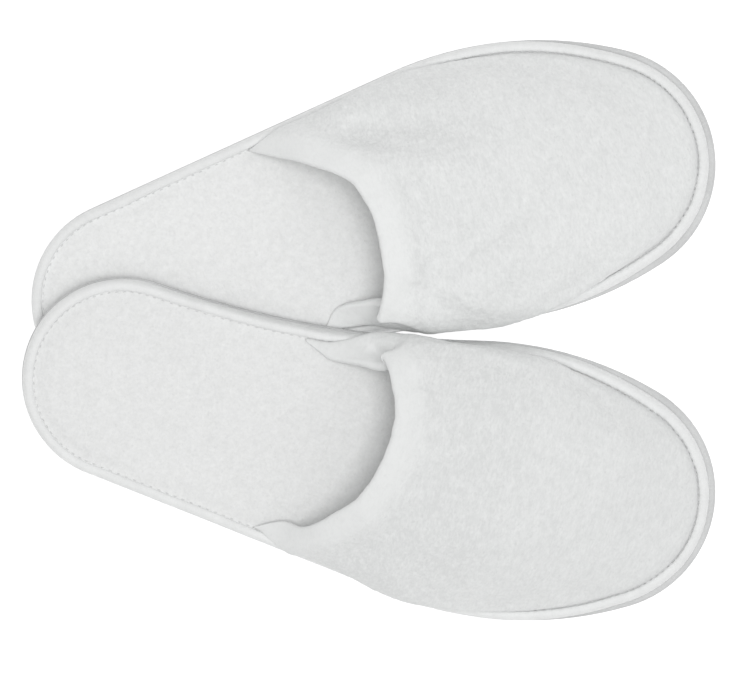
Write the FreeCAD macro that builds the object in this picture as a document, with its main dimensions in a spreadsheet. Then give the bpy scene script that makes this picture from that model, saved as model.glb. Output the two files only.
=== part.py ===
"""A pair of closed-toe spa slippers, modelled piece by piece in millimetres, +Z up.

Each slipper is drawn in a frame of its own: x from the back of the heel to the toe, z up from the
ground, y towards the outer (lateral) side of the left foot. The right slipper is its mirror image.
The left slipper lies flat, and the right one rests with its heel on the left one's heel.
"""
import FreeCAD
import Part
import math
import os
import Sketcher
from FreeCAD import Placement, Rotation, Vector

DIMENSIONS = {
    # Outline of the sole: five tangent arcs and one straight side.
    "sole_length": 286.6,
    "heel_radius": 41.0,
    "toe_radius": 48.0,
    "toe_offset": 5.5,         # how far the toe's centre lies towards the big toe
    "medial_radius": 147.5,
    "medial_reach": 57.2,      # widest point of the ball, from the heel's centre line
    "lateral_radius": 147.0,
    "lateral_reach": 57.2,
    "waist_radius": 420.0,
    # Thickness of the layers, from the ground up.
    "outsole_thick": 4.5,
    "tape_thick": 1.2,         # the board has the same thickness as the tape beside it
    "foam_thick": 3.8,
    "velour_thick": 1.3,
    "outsole_round": 1.2,
    # Binding tape and its stitching.
    "binding_inset": 1.2,      # from the outsole's edge to the binding
    "binding_width": 3.8,
    "binding_round": 2.0,
    "board_gap": 0.2,
    "thread_diameter": 0.6,
    "stitch_length": 2.6,
    "stitch_pitch": 3.5,
    "stitch_inset": 5.5,
    # Tread: shallow grooves across the underside.
    "groove_depth": 0.8,
    "groove_width": 2.0,
    "groove_pitch": 5.0,
    "ball_tread_start": 150.0,
    "ball_tread_width": 70.0,
    "ball_groove_count": 23.0,
    "heel_tread_start": 14.0,
    "heel_tread_width": 48.0,
    "heel_groove_count": 18.0,
    # Vamp.
    "vamp_inset": 6.0,
    "medial_wing_start": 121.0,     # where the vamp's two wings run out, from the heel
    "lateral_wing_start": 104.0,
    "wing_lean": 3.0,          # how far the wing's tip leans in over the insole
    "wing_height": 5.0,
    "throat_front": 144.0,     # middle of the throat, from the heel
    "throat_top": 46.0,        # height of the throat above the ground
    "throat_medial_power": 0.7,
    "throat_lateral_power": 1.0,
    "throat_height_power": 0.6,
    "vamp_cover_thick": 1.3,
    "vamp_padding_thick": 1.8,
    "vamp_lining_thick": 1.1,
    "layer_gap": 0.05,
    "wing_taper": 0.35,        # share of the layers' thickness left at the wing tips
    "padding_end": 0.93,       # the padding stops short of the throat, to leave room for its seam
    # How the two slippers lie.
    "left_heel_x": -135.5,
    "left_heel_y": -0.7,
    "left_yaw": 17.84,
    "right_heel_x": -138.5,
    "right_heel_y": -8.8,
    "right_yaw": -15.3,
    "right_heel_lift": 15.28,
    "right_pitch": 2.72,       # heel up
    "right_roll": 4.26,        # big-toe side up
}
TAPER_SHARE = 0.12             # share of the vamp's seam over which its wings thin out
SEAM_STATIONS = 33             # points along the seam that each layer of the vamp passes through
HEIGHT_STATIONS = 11           # and from the seam up to the throat
NORMAL_STEP = 1e-3             # step in u and v over which the vamp's slope is read
WALK_STEPS = 4000              # steps along the throat when its stitches are spaced out
HALVINGS = 60                  # rounds of bisection when a point on the outline is looked up
OUTLINE_SAMPLES = 400          # points on the outline that a rounded edge is compared with
SAME_HEIGHT = 0.01             # an edge at this distance or less counts as lying at a height
SAME_LINE = 1.0                # and at this distance or less as following the outline

doc = FreeCAD.newDocument("spa_slippers")


def make_sheet():
    """Put the driving dimensions into the document's spreadsheet, one named cell each."""
    sheet = doc.addObject("Spreadsheet::Sheet", "Dims")
    for row, (alias, number) in enumerate(DIMENSIONS.items(), start=1):
        sheet.set(f"A{row}", alias)
        sheet.set(f"B{row}", str(number))
        sheet.setAlias(f"B{row}", alias)
    doc.recompute()
    return sheet


SHEET = make_sheet()


def dim(*aliases):
    """Sum of the named cells, as a number."""
    return sum(float(SHEET.get(alias)) for alias in aliases)


def cells(*aliases):
    """Sum of the named cells, as an expression."""
    return " + ".join(f"Dims.{alias}" for alias in aliases) or "0"


# ---------------------------------------------------------------- outline of the sole

def outline(inset, side):
    """The sole's outline, moved in by inset: (kind, geometry) pairs in order round the sole.

    All arcs keep their centres; the convex ones shrink and the waist, which is concave, grows.
    """
    heel_radius, toe_radius = dim("heel_radius"), dim("toe_radius")
    medial_radius, lateral_radius = dim("medial_radius"), dim("lateral_radius")
    waist_radius = dim("waist_radius")
    heel = Vector(heel_radius, 0)
    toe = Vector(dim("sole_length") - toe_radius, -dim("toe_offset"))
    medial_y = medial_radius - dim("medial_reach")
    medial = Vector(toe.x - math.sqrt((medial_radius - toe_radius) ** 2 - (medial_y - toe.y) ** 2), medial_y)
    lateral_y = dim("lateral_reach") - lateral_radius
    lateral = Vector(toe.x - math.sqrt((lateral_radius - toe_radius) ** 2 - (lateral_y - toe.y) ** 2), lateral_y)

    # The waist's centre lies outside the sole, one sum of radii away from the heel and from the ball.
    across = medial - heel
    from_heel, from_ball = waist_radius + heel_radius, waist_radius + medial_radius
    along = (from_heel ** 2 - from_ball ** 2 + across.Length ** 2) / (2 * across.Length)
    unit = Vector(across).normalize()
    waist = heel + unit * along + Vector(unit.y, -unit.x) * math.sqrt(from_heel ** 2 - along ** 2)

    # The straight side touches the heel's and the lateral circle, both on its inner side.
    across = lateral - heel
    unit = Vector(across).normalize()
    slant = (heel_radius - lateral_radius) / across.Length
    normal = unit * slant + Vector(-unit.y, unit.x) * math.sqrt(1 - slant ** 2)

    def on(centre, radius, towards):
        return centre + Vector(towards - centre).normalize() * radius

    heel_side = heel + normal * (heel_radius - inset)
    lateral_side = lateral + normal * (lateral_radius - inset)
    heel_waist = on(heel, heel_radius - inset, waist)
    waist_ball = on(waist, waist_radius + inset, medial)
    ball_toe = on(toe, -(toe_radius - inset), medial)
    toe_lateral = on(toe, -(toe_radius - inset), lateral)

    def arc(centre, radius, start, end, turn):
        first = math.atan2(start.y - centre.y, start.x - centre.x)
        last = math.atan2(end.y - centre.y, end.x - centre.x)
        sweep = (last - first) * turn % (2 * math.pi) * turn
        return {"centre": Vector(centre.x, centre.y * side), "radius": radius,
                "first": first * side, "sweep": sweep * side}

    return [
        ("heel", arc(heel, heel_radius - inset, heel_side, heel_waist, 1)),
        ("waist", arc(waist, waist_radius + inset, heel_waist, waist_ball, -1)),
        ("medial", arc(medial, medial_radius - inset, waist_ball, ball_toe, 1)),
        ("toe", arc(toe, toe_radius - inset, ball_toe, toe_lateral, 1)),
        ("lateral", arc(lateral, lateral_radius - inset, toe_lateral, lateral_side, 1)),
        ("side", {"start": Vector(lateral_side.x, lateral_side.y * side),
                  "end": Vector(heel_side.x, heel_side.y * side)}),
    ]


class Perimeter:
    """Points along the outline by their distance from the heel's lateral side, by way of the heel."""

    def __init__(self, inset, side):
        self.side = side
        self.pieces = [piece for _, piece in outline(inset, side)]
        self.lengths = [self.length_of(piece) for piece in self.pieces]
        self.total = sum(self.lengths)

    @staticmethod
    def length_of(piece):
        if "radius" in piece:
            return abs(piece["sweep"]) * piece["radius"]
        return (piece["end"] - piece["start"]).Length

    def at(self, distance):
        """Point, and the direction of travel there."""
        distance %= self.total
        for piece, length in zip(self.pieces, self.lengths):
            if distance <= length:
                break
            distance -= length
        if "radius" not in piece:
            way = (piece["end"] - piece["start"]).normalize()
            return piece["start"] + way * distance, way
        turn = math.copysign(1, piece["sweep"])
        angle = piece["first"] + turn * distance / piece["radius"]
        spoke = Vector(math.cos(angle), math.sin(angle))
        return piece["centre"] + spoke * piece["radius"], Vector(-spoke.y, spoke.x) * turn

    def distance_where(self, x, low, high):
        """Distance between low and high at which the outline crosses the given x."""
        rising = self.at(high)[0].x > self.at(low)[0].x
        for _ in range(HALVINGS):
            middle = (low + high) / 2
            if (self.at(middle)[0].x < x) == rising:
                low = middle
            else:
                high = middle
        return low


def outline_sketch(body, name, side, inset=(), z=()):
    """Sketch of the outline, inset and raised by the named cells, fully constrained from the sheet."""
    sketch = body.newObject("Sketcher::SketchObject", name)
    ground = next(plane for plane in body.Origin.OriginFeatures if plane.Role == "XY_Plane")
    sketch.AttachmentSupport = [(ground, "")]
    sketch.MapMode = "FlatFace"
    if z:
        sketch.setExpression("AttachmentOffset.Base.z", cells(*z))
    names = []
    for kind, piece in outline(dim(*inset), side):
        names.append(kind)
        if kind == "side":
            sketch.addGeometry(Part.LineSegment(piece["start"], piece["end"]))
            continue
        circle = Part.Circle(piece["centre"], Vector(0, 0, 1), piece["radius"])
        ends = sorted((piece["first"], piece["first"] + piece["sweep"]))
        sketch.addGeometry(Part.ArcOfCircle(circle, *ends))
    count = len(names)
    for index in range(count):
        after = (index + 1) % count
        pairs = [(a, b) for a in (1, 2) for b in (1, 2)]
        here, there = min(pairs, key=lambda ends: (
            sketch.getPoint(index, ends[0]) - sketch.getPoint(after, ends[1])).Length)
        sketch.addConstraint(Sketcher.Constraint("Tangent", index, here, after, there))

    def drive(kind, geometry, formula, number, point=None):
        index = names.index(geometry)
        where = (index,) if point is None else (index, point)
        constraint = sketch.addConstraint(Sketcher.Constraint(kind, *where, number))
        label = f"{geometry}_{kind.lower()}"
        sketch.renameConstraint(constraint, label)
        sketch.setExpression(f"Constraints.{label}", formula)

    moved = f" - ({cells(*inset)})"
    grown = f" + ({cells(*inset)})"
    shapes = dict(outline(dim(*inset), side))
    for kind in ("heel", "toe", "medial", "lateral"):
        drive("Radius", kind, f"Dims.{kind}_radius" + moved, shapes[kind]["radius"])
    drive("Radius", "waist", "Dims.waist_radius" + grown, shapes["waist"]["radius"])
    centre = 3                  # the sketcher's number for the centre of an arc
    drive("DistanceX", "heel", "Dims.heel_radius", shapes["heel"]["centre"].x, centre)
    sketch.addConstraint(Sketcher.Constraint("PointOnObject", names.index("heel"), centre, -1))
    drive("DistanceX", "toe", "Dims.sole_length - Dims.toe_radius", shapes["toe"]["centre"].x, centre)
    for kind, formula in (("toe", "-Dims.toe_offset"),
                          ("medial", "Dims.medial_radius - Dims.medial_reach"),
                          ("lateral", "Dims.lateral_reach - Dims.lateral_radius")):
        drive("DistanceY", kind, f"{side} * ({formula})", shapes[kind]["centre"].y, centre)
    return sketch


# ---------------------------------------------------------------- flat pieces of the sole

def new_body(label):
    body = doc.addObject("PartDesign::Body", label)
    body.Label = label
    return body


def pad(body, name, sketch, height):
    feature = body.newObject("PartDesign::Pad", name)
    feature.Profile = sketch
    feature.setExpression("Length", cells(*height))
    return feature


def pocket_up(body, name, sketch, height):
    """Cut upwards from the sketch, and make sure that something was cut."""
    before = body.Shape.Volume
    feature = body.newObject("PartDesign::Pocket", name)
    feature.Profile = sketch
    feature.Reversed = True
    feature.setExpression("Length", cells(*height))
    doc.recompute()
    if body.Shape.Volume >= before:
        raise RuntimeError(f"{body.Label}: {name} cuts nothing")
    return feature


def round_edges(body, name, radius, z, side, inset):
    """Fillet the edge that follows the outline at the given height and inset."""
    doc.recompute()
    wanted = Perimeter(inset, side)
    samples = [wanted.at(wanted.total * k / OUTLINE_SAMPLES)[0] for k in range(OUTLINE_SAMPLES)]
    chosen = []
    for number, edge in enumerate(body.Shape.Edges, start=1):
        middle = edge.valueAt((edge.FirstParameter + edge.LastParameter) / 2)
        flat = Vector(middle.x, middle.y)
        nearest = min((flat - sample).Length for sample in samples)
        if abs(middle.z - z) < SAME_HEIGHT and nearest < SAME_LINE:
            chosen.append(f"Edge{number}")
    base = body.Tip
    fillet = body.newObject("PartDesign::Fillet", name)
    fillet.Base = (base, chosen)
    fillet.setExpression("Radius", cells(radius))
    body.Tip = fillet
    doc.recompute()


def tread(body, name, start, width, count):
    """One row of shallow grooves across the underside, spaced along the sole."""
    sketch = body.newObject("Sketcher::SketchObject", f"{name}_groove")
    ground = next(plane for plane in body.Origin.OriginFeatures if plane.Role == "XY_Plane")
    sketch.AttachmentSupport = [(ground, "")]
    sketch.MapMode = "FlatFace"
    left, right = dim(start), dim(start, "groove_width")
    half = dim(width) / 2
    corners = [Vector(left, -half), Vector(right, -half), Vector(right, half), Vector(left, half)]
    for index in range(4):
        sketch.addGeometry(Part.LineSegment(corners[index], corners[(index + 1) % 4]))
    for index in range(4):
        sketch.addConstraint(Sketcher.Constraint("Coincident", index, 2, (index + 1) % 4, 1))
    for level, index in (("Horizontal", 0), ("Horizontal", 2), ("Vertical", 3)):
        sketch.addConstraint(Sketcher.Constraint(level, index))
    sketch.addConstraint(Sketcher.Constraint("Symmetric", 1, 1, 1, 2, -1))
    for label, kind, where, cell in (("start", "DistanceX", (3, 1), start),
                                     ("across", "DistanceX", (0, 1, 0, 2), "groove_width"),
                                     ("wide", "DistanceY", (1, 1, 1, 2), width)):
        constraint = sketch.addConstraint(Sketcher.Constraint(kind, *where, dim(cell)))
        sketch.renameConstraint(constraint, label)
        sketch.setExpression(f"Constraints.{label}", cells(cell))
    groove = pocket_up(body, f"{name}_cut", sketch, ["groove_depth"])
    pattern = body.newObject("PartDesign::LinearPattern", f"{name}_pattern")
    pattern.Originals = [groove]
    pattern.Direction = (sketch, ["H_Axis"])
    pattern.setExpression("Length", f"({cells(count)} - 1) * Dims.groove_pitch")
    pattern.setExpression("Occurrences", cells(count))
    before = body.Shape.Volume
    body.Tip = pattern
    doc.recompute()
    if body.Shape.Volume >= before:
        raise RuntimeError(f"{body.Label}: {name} pattern cuts nothing")


def outsole(prefix, side):
    body = new_body(f"{prefix}_outsole")
    pad(body, "sheet", outline_sketch(body, "outline", side), ["outsole_thick"])
    round_edges(body, "top_round", "outsole_round", dim("outsole_thick"), side, 0)
    tread(body, "ball", "ball_tread_start", "ball_tread_width", "ball_groove_count")
    tread(body, "heel", "heel_tread_start", "heel_tread_width", "heel_groove_count")
    return body


def sole_layer(label, side, inset, z, thickness):
    body = new_body(label)
    pad(body, "layer", outline_sketch(body, "outline", side, inset, z), [thickness])
    return body


def edge_binding(prefix, side):
    """Tape folded round the edge of the insole stack: a ring whose section is a C open inwards."""
    body = new_body(f"{prefix}_edge_binding")
    base = ["outsole_thick"]
    stack = ["foam_thick", "velour_thick"]
    height = ["tape_thick", *stack, "tape_thick"]
    pad(body, "block", outline_sketch(body, "outer", side, ["binding_inset"], base), height)
    doc.recompute()
    lips = outline_sketch(body, "lips", side, ["binding_inset", "binding_width"], base)
    pocket_up(body, "inside", lips, height)
    back = outline_sketch(body, "back", side, ["binding_inset", "tape_thick"], base + ["tape_thick"])
    pocket_up(body, "channel", back, stack)
    round_edges(body, "bead_round", "binding_round", dim(*base, *height), side, dim("binding_inset"))
    return body


# ---------------------------------------------------------------- stitches and vamp

def thread(middle, way, length):
    radius = dim("thread_diameter") / 2
    return Part.makeCylinder(radius, length, middle - way * (length / 2), way)


def solid_feature(label, shape):
    feature = doc.addObject("Part::Feature", label)
    feature.Label = label
    feature.Shape = shape
    return feature


def binding_stitches(prefix, side):
    """One row of stitches round the slipper, in the channel along the inside of the binding."""
    seam = Perimeter(dim("stitch_inset"), side)
    count = round(seam.total / dim("stitch_pitch"))
    top = dim("outsole_thick", "tape_thick", "foam_thick", "velour_thick") + dim("thread_diameter") / 2
    row = []
    for index in range(count):
        point, way = seam.at(seam.total * index / count)
        row.append(thread(point + Vector(0, 0, top), way, dim("stitch_length")))
    return solid_feature(f"{prefix}_binding_stitches", Part.makeCompound(row))


class Vamp:
    """The closed toe as a surface: u runs along its seam from the medial wing tip round the toe to
    the lateral wing tip, and v climbs from the seam to the edge of the throat."""

    def __init__(self, side):
        self.side = side
        self.seam = Perimeter(dim("vamp_inset"), side)
        heel_length = self.seam.lengths[0]
        toe_tip = sum(self.seam.lengths[:3]) + self.seam.lengths[3] / 2
        side_end = self.seam.total
        self.start = self.seam.distance_where(dim("medial_wing_start"), heel_length, toe_tip)
        self.end = self.seam.distance_where(dim("lateral_wing_start"), toe_tip, side_end)
        self.base = dim("outsole_thick", "tape_thick", "foam_thick", "velour_thick")

    def seam_point(self, u):
        point = self.seam.at(self.start + (self.end - self.start) * u)[0]
        return Vector(point.x, point.y, self.base)

    def throat_point(self, u):
        """The throat: a U in plan, squarer on the medial side, that arches up between the wings."""
        medial, lateral = self.seam_point(0), self.seam_point(1)
        angle = math.pi * u
        share = (1 - math.cos(angle)) / 2
        lean = dim("wing_lean") * self.side
        y = (medial.y + lean) * (1 - share) + (lateral.y - lean) * share
        power = dim("throat_medial_power") * (1 - share) + dim("throat_lateral_power") * share
        swell = max(math.sin(angle), 0.0)
        back = medial.x * (1 - share) + lateral.x * share
        low = self.base + dim("wing_height")
        return Vector(back + (dim("throat_front") - back) * swell ** power, y,
                      low + (dim("throat_top") - low) * swell ** dim("throat_height_power"))

    def surface(self, u, v):
        """A quarter ellipse from the seam, where it stands upright, to the throat, where it is level."""
        foot, top = self.seam_point(u), self.throat_point(u)
        angle = v * math.pi / 2
        inward = 1 - math.cos(angle)
        return Vector(foot.x + (top.x - foot.x) * inward, foot.y + (top.y - foot.y) * inward,
                      foot.z + (top.z - foot.z) * math.sin(angle))

    def taper(self, u):
        """Share of the full thickness: all of it, but less towards the two wing tips."""
        near = min(u, 1 - u, TAPER_SHARE) / TAPER_SHARE
        smooth = near * near * (3 - 2 * near)
        return dim("wing_taper") + (1 - dim("wing_taper")) * smooth

    def at(self, u, v, depth):
        """Point under the outer surface by depth, measured through the layers."""
        low_u, high_u = max(u - NORMAL_STEP, 0), min(u + NORMAL_STEP, 1)
        low_v, high_v = max(v - NORMAL_STEP, 0), min(v + NORMAL_STEP, 1)
        along = self.surface(high_u, v) - self.surface(low_u, v)
        upward = self.surface(u, high_v) - self.surface(u, low_v)
        outward = along.cross(upward).normalize() * self.side
        if v == 0:
            outward = Vector(outward.x, outward.y, 0).normalize()
        return self.surface(u, v) - outward * (depth * self.taper(u))

    def layer(self, outer, inner, share=1.0):
        """Closed solid between two depths, from the seam up over a share of the way to the throat."""
        faces = []
        surfaces = []
        for depth in (outer, inner):
            grid = [[self.at(i / (SEAM_STATIONS - 1), j / (HEIGHT_STATIONS - 1), depth)
                     for j in range(HEIGHT_STATIONS)] for i in range(SEAM_STATIONS)]
            surface = Part.BSplineSurface()
            surface.interpolate(grid)
            u_low, u_high, v_low, v_high = surface.bounds()
            if share < 1:
                surface.segment(u_low, u_high, v_low, v_low + (v_high - v_low) * share)
            surfaces.append(surface)
            faces.append(surface.toShape())
        borders = []
        for surface in surfaces:
            u_low, u_high, v_low, v_high = surface.bounds()
            borders.append([surface.uIso(u_low).toShape(), surface.uIso(u_high).toShape(),
                            surface.vIso(v_low).toShape(), surface.vIso(v_high).toShape()])
        same_way = 1
        for outer_edge, inner_edge in zip(*borders):
            faces.append(Part.makeRuledSurface(outer_edge, inner_edge, same_way))
        shell = Part.makeShell(faces)
        shell.sewShape()
        solid = Part.makeSolid(shell)
        if solid.Volume < 0:
            solid.reverse()
        return solid


def vamp_pieces(prefix, side):
    vamp = Vamp(side)
    cover = dim("vamp_cover_thick")
    padding = cover + dim("vamp_padding_thick")
    lining = padding + dim("vamp_lining_thick")
    gap = dim("layer_gap")
    pieces = [
        solid_feature(f"{prefix}_vamp_cover", vamp.layer(0, cover)),
        solid_feature(f"{prefix}_vamp_padding", vamp.layer(cover + gap, padding - gap, dim("padding_end"))),
        solid_feature(f"{prefix}_vamp_lining", vamp.layer(padding, lining)),
    ]
    # The seam that joins cover and lining runs between them, in the room that the padding leaves.
    middle_v = (1 + dim("padding_end")) / 2
    middle_depth = (cover + padding) / 2
    row = []
    walked = dim("stitch_pitch")
    before = vamp.at(TAPER_SHARE, middle_v, middle_depth)
    for step in range(1, WALK_STEPS + 1):
        u = TAPER_SHARE + (1 - 2 * TAPER_SHARE) * step / WALK_STEPS
        here = vamp.at(u, middle_v, middle_depth)
        walked += (here - before).Length
        if walked >= dim("stitch_pitch"):
            row.append(thread(here, (here - before).normalize(), dim("stitch_length")))
            walked = 0
        before = here
    pieces.append(solid_feature(f"{prefix}_throat_stitches", Part.makeCompound(row)))
    return pieces


# ---------------------------------------------------------------- the pair

def slipper(prefix, side):
    board_level = ["outsole_thick"]
    foam_level = board_level + ["tape_thick"]
    velour_level = foam_level + ["foam_thick"]
    inside_tape = ["binding_inset", "tape_thick"]
    return [
        outsole(prefix, side),
        sole_layer(f"{prefix}_insole_board", side, ["binding_inset", "binding_width", "board_gap"],
                   board_level, "tape_thick"),
        sole_layer(f"{prefix}_insole_foam", side, inside_tape, foam_level, "foam_thick"),
        sole_layer(f"{prefix}_insole_cover", side, inside_tape, velour_level, "velour_thick"),
        edge_binding(prefix, side),
        binding_stitches(prefix, side),
        *vamp_pieces(prefix, side),
    ]


def lie(x, y, z, yaw, pitch, roll):
    """Placement of a slipper: where its heel is, its heading, and its tilt in degrees."""
    slope_x, slope_y = -math.tan(math.radians(pitch)), math.tan(math.radians(roll))
    forward = Vector(1, 0, slope_x)
    upward = Vector(-slope_x, -slope_y, 1)
    tilt = Rotation(forward, upward.cross(forward), upward, "ZXY")
    return Placement(Vector(x, y, z), Rotation(Vector(0, 0, 1), yaw) * tilt)


left = slipper("left", 1)
right = slipper("right", -1)
left_place = lie(dim("left_heel_x"), dim("left_heel_y"), 0, dim("left_yaw"), 0, 0)
right_place = lie(dim("right_heel_x"), dim("right_heel_y"), dim("right_heel_lift"), dim("right_yaw"),
                  dim("right_pitch"), dim("right_roll"))
doc.recompute()
for pieces, place in ((left, left_place), (right, right_place)):
    for piece in pieces:
        piece.Placement = place
doc.recompute()

# The origin is the middle of the pair on the ground.
box = FreeCAD.BoundBox()
for piece in left + right:
    box.add(piece.Shape.optimalBoundingBox())
centring = Vector(-(box.XMin + box.XMax) / 2, -(box.YMin + box.YMax) / 2, -box.ZMin)
for piece in left + right:
    placed = piece.Placement
    placed.Base = placed.Base + centring
    piece.Placement = placed
doc.recompute()

for item in doc.Objects:
    if "Invalid" in item.State or "Error" in item.State:
        raise RuntimeError(f"{item.Label} failed: {item.State}")
os.makedirs("parts", exist_ok=True)
for piece in left + right:
    if piece.Shape.isNull() or not piece.Shape.isValid():
        raise RuntimeError(f"{piece.Label} has no valid shape")
    piece.Shape.exportStep(f"parts/{piece.Label}.step")
    print(f"{piece.Label:26s} {len(piece.Shape.Solids):4d} solids {piece.Shape.Volume / 1000:9.3f} cm3")
print("box", box.XLength, box.YLength, box.ZLength, "moved by", centring)
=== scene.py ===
"""A pair of closed-toe terry spa slippers: the looks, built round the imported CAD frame.

Each slipper is shaped in a frame of its own, in millimetres: x from the back of the heel to the toe,
y towards the outer (lateral) side of the foot, z up from the ground. The right slipper is the left
one's mirror image, so its y is turned round when it is placed. Placing also turns it into metres.
"""
import math

import bpy
import numpy as np
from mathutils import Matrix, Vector


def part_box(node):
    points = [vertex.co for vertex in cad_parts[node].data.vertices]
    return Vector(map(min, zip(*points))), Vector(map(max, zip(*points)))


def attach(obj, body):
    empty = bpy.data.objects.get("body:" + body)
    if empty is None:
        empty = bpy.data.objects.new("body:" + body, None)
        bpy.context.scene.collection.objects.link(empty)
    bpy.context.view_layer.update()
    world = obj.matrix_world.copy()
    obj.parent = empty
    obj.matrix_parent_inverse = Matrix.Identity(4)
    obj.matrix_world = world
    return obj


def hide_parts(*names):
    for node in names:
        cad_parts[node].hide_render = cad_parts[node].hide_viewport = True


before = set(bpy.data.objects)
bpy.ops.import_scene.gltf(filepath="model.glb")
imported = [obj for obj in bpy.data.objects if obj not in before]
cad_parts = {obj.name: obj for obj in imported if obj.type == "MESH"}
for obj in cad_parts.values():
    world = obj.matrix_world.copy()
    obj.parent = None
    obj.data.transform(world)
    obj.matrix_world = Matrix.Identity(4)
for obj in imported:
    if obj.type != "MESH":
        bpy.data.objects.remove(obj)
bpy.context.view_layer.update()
MM = 0.001

# Outline of the sole, as in CAD: five tangent arcs and one straight side.
SOLE_LENGTH = 286.6
HEEL_RADIUS = 41.0
TOE_RADIUS = 48.0
TOE_OFFSET = 5.5
MEDIAL_RADIUS, MEDIAL_REACH = 147.5, 57.2
LATERAL_RADIUS, LATERAL_REACH = 147.0, 57.2
WAIST_RADIUS = 420.0

# Heights and insets of the layers.
OUTSOLE_TOP = 4.5
BOARD_TOP = 5.7
FOAM_TOP = 9.5
VELOUR_TOP = 10.8
OUTSOLE_FULL_TO = 3.3          # the outsole has its full outline up to here
BINDING_BACK = 2.4             # the edge of the foam and the velour, inside the tape
BOARD_INSET = 5.2              # the edge of the board, inside the tape's lower lip
BEAD_OUTER, BEAD_CREST, BEAD_LIP = 0.5, 3.2, 5.0
TOE_SHIFT = 2.6                # how much further in the tape sits round the toe
BEAD_FOOT, BEAD_TOP = 6.0, 12.1
STITCH_INSET, STITCH_PITCH, STITCH_LENGTH, THREAD = 5.35, 3.5, 2.7, 0.55
SEAM_INSET, SEAM_HEIGHT = 5.4, 11.3

# Layers of the vamp, from the outside in.
COVER, SPONGE, LINING = 1.2, 1.8, 1.1
EDGE_THICKNESS = 4.0           # at the rolled throat, where there is no sponge
BAND = 9.0                     # width of the turned edge along the throat
TURN_BACK = 6.0                # how far the cover runs back under itself
HEM_DIP, HEM_AT, HEM_WIDTH = 2.2, 18.0, 7.0    # the hem's seam draws the cloth in behind the band
SEAM_PULL, THROAT_PULL = 0.62, 0.5      # how firmly the wall keeps its direction at its two ends
TIP_LEFT = 0.18                # share of the thickness left at a wing's tip
NEAR_TIP, NEAR_TIP_SPAN = 0.42, 0.03    # share regained close to the tip, by share of the seam
PAST_TIP, PAST_TIP_SPAN = 0.4, 0.09     # and the rest of it further on
VAMP_PILE, LINING_PILE, INSOLE_PILE = 0.27, 0.15, 0.20    # height of the clumps of pile
HIDDEN_THREAD = 0.5            # thickness of the thread in the throat's seam

# The cloth simulation that settles the vamp.
SLACK = 0.014                  # share by which the cut cloth is larger than the space it spans
MOST_MOVE = 3.0                # the most that settling may move a point
SETTLE_FRAMES = 20
SETTLE_ROWS, SETTLE_STEPS = 90, 40      # size of the coarser grid that is simulated
CLOTH_SETTINGS = {
    "quality": 8, "mass": 0.02, "tension_stiffness": 12, "compression_stiffness": 12,
    "shear_stiffness": 6, "bending_stiffness": 2.5, "shrink_min": -SLACK, "pin_stiffness": 1.0}

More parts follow.
